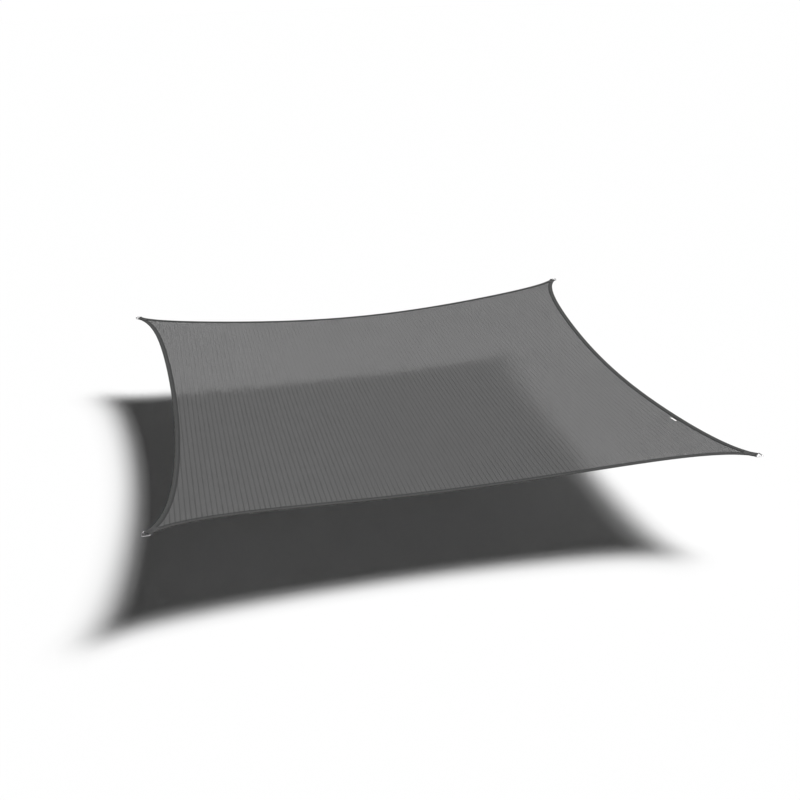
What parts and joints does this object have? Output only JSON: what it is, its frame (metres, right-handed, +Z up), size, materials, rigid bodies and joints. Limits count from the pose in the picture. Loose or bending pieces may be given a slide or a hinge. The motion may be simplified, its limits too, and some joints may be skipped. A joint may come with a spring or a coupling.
{
  "type": "shade sail",
  "caption": "Square cloth sail with concave bound edges, hung level and gently sagging, with a triangular steel ring strapped to each corner.",
  "frame": {"origin": "inner face of the front left ring at its apex, where a fixing pulls on it", "axes": "+X along the front edge from the front left ring to the front right ring, +Y from the front edge to the back edge, +Z up out of the hung sail"},
  "size_m": [3.6045, 3.6045, 0.1122],
  "materials": {
    "cloth": "matt knitted shade cloth, dark grey",
    "binding": "matt woven tape, charcoal",
    "strap": "matt woven webbing, charcoal",
    "ring": "polished stainless round bar",
    "label": "blank woven label, white with a charcoal root"
  },
  "bodies": {
    "root": {"sail_cloth": "cloth", "edge_binding_front": "binding", "edge_binding_right": "binding", "edge_binding_back": "binding", "edge_binding_left": "binding", "corner_strap_front_left": "strap", "corner_strap_front_right": "strap", "corner_strap_back_right": "strap", "corner_strap_back_left": "strap", "corner_ring_front_left": "ring", "corner_ring_front_right": "ring", "corner_ring_back_right": "ring", "corner_ring_back_left": "ring", "blank_label": "label"}
  },
  "joints": []
}
